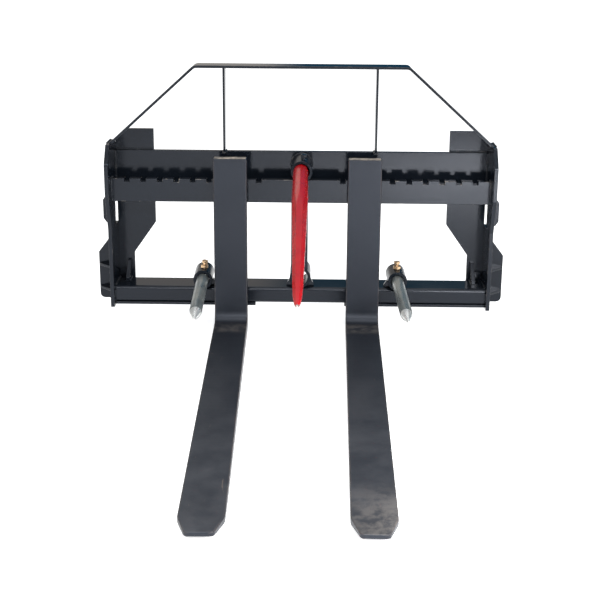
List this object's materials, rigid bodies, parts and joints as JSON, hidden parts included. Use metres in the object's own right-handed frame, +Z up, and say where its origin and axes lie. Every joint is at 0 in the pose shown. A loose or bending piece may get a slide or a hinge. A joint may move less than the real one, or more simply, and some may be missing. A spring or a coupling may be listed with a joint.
{
  "type": "pallet fork attachment",
  "caption": "Loader pallet fork attachment: welded carriage with notched rail and guard hoop, sliding hook-on forks with latches, hay spear and stabilizer spears in sockets.",
  "frame": {"origin": "middle of the footprint on the floor under the blades", "axes": "+X to the right seen from the fork tips, +Y from the fork tips to the loader, +Z up"},
  "size_m": [1.302, 1.4352, 0.825],
  "materials": {
    "frame_black": "gloss black enamel over welded steel, light orange peel",
    "fork_black": "satin black enamel over forged steel, scuffed at heel and tip",
    "spear_red": "gloss red enamel, bare point",
    "stabilizer_steel": "weathered bare steel, ground conical point",
    "zinc_hardware": "yellow zinc plate",
    "latch_steel": "bright turned steel"
  },
  "bodies": {
    "frame": {"notched_fork_rail": "frame_black", "rear_crossbar": "frame_black", "bottom_tube": "frame_black", "guard_hoop": "frame_black", "centre_post": "frame_black", "left_side_plate": "frame_black", "left_hook_lip": "frame_black", "left_attach_plate": "frame_black", "left_top_lip": "frame_black", "left_bottom_lip": "frame_black", "left_lock_bolt": "frame_black", "left_upper_gusset": "frame_black", "left_lower_gusset": "frame_black", "left_tube_gusset": "frame_black", "left_side_lug": "frame_black", "left_upright": "frame_black", "left_stabilizer_sleeve": "frame_black", "left_stabilizer_set_bolt": "zinc_hardware", "left_stabilizer_set_nut": "zinc_hardware", "left_stabilizer_brace": "frame_black", "lower_spear_left_brace": "frame_black", "right_side_plate": "frame_black", "right_hook_lip": "frame_black", "right_attach_plate": "frame_black", "right_top_lip": "frame_black", "right_bottom_lip": "frame_black", "right_lock_bolt": "frame_black", "right_upper_gusset": "frame_black", "right_lower_gusset": "frame_black", "right_tube_gusset": "frame_black", "right_side_lug": "frame_black", "right_upright": "frame_black", "right_stabilizer_sleeve": "frame_black", "right_stabilizer_set_bolt": "zinc_hardware", "right_stabilizer_set_nut": "zinc_hardware", "right_stabilizer_brace": "frame_black", "lower_spear_right_brace": "frame_black", "upper_spear_sleeve": "frame_black", "upper_spear_set_bolt": "frame_black", "lower_spear_sleeve": "frame_black", "lower_spear_set_bolt": "frame_black"},
    "left_fork": {"left_fork": "fork_black", "left_upper_hook": "fork_black", "left_lower_hook": "fork_black", "left_latch_housing": "frame_black", "left_latch_spring": "latch_steel"},
    "left_latch": {"left_latch_pin": "latch_steel", "left_latch_handle": "zinc_hardware"},
    "left_stabilizer": {"left_stabilizer_spear": "stabilizer_steel"},
    "right_fork": {"right_fork": "fork_black", "right_upper_hook": "fork_black", "right_lower_hook": "fork_black", "right_latch_housing": "frame_black", "right_latch_spring": "latch_steel"},
    "right_latch": {"right_latch_pin": "latch_steel", "right_latch_handle": "zinc_hardware"},
    "right_stabilizer": {"right_stabilizer_spear": "stabilizer_steel"},
    "hay_spear": {"hay_spear": "spear_red"}
  },
  "joints": [
    {"name": "left_fork_slide", "type": "slide", "parent": "frame", "child": "left_fork", "axis": [1, 0, 0], "range_m": [0, 0.1016]},
    {"name": "right_fork_slide", "type": "slide", "parent": "frame", "child": "right_fork", "axis": [-1, 0, 0], "range_m": [0, 0.0508]},
    {"name": "left_latch_drop", "type": "slide", "parent": "left_fork", "child": "left_latch", "axis": [0, 0, -1], "range_m": [0, 0.011], "deforming": ["left_latch_spring"]},
    {"name": "right_latch_drop", "type": "slide", "parent": "right_fork", "child": "right_latch", "axis": [0, 0, -1], "range_m": [0, 0.011], "deforming": ["right_latch_spring"]},
    {"name": "hay_spear_pull", "type": "slide", "parent": "frame", "child": "hay_spear", "axis": [0.0066, -1, 0], "range_m": [0, 0.14]},
    {"name": "left_stabilizer_pull", "type": "slide", "parent": "frame", "child": "left_stabilizer", "axis": [0.0332, -0.9995, 0], "range_m": [0, 0.11]},
    {"name": "right_stabilizer_pull", "type": "slide", "parent": "frame", "child": "right_stabilizer", "axis": [0.0105, -0.9999, 0], "range_m": [0, 0.11]}
  ]
}
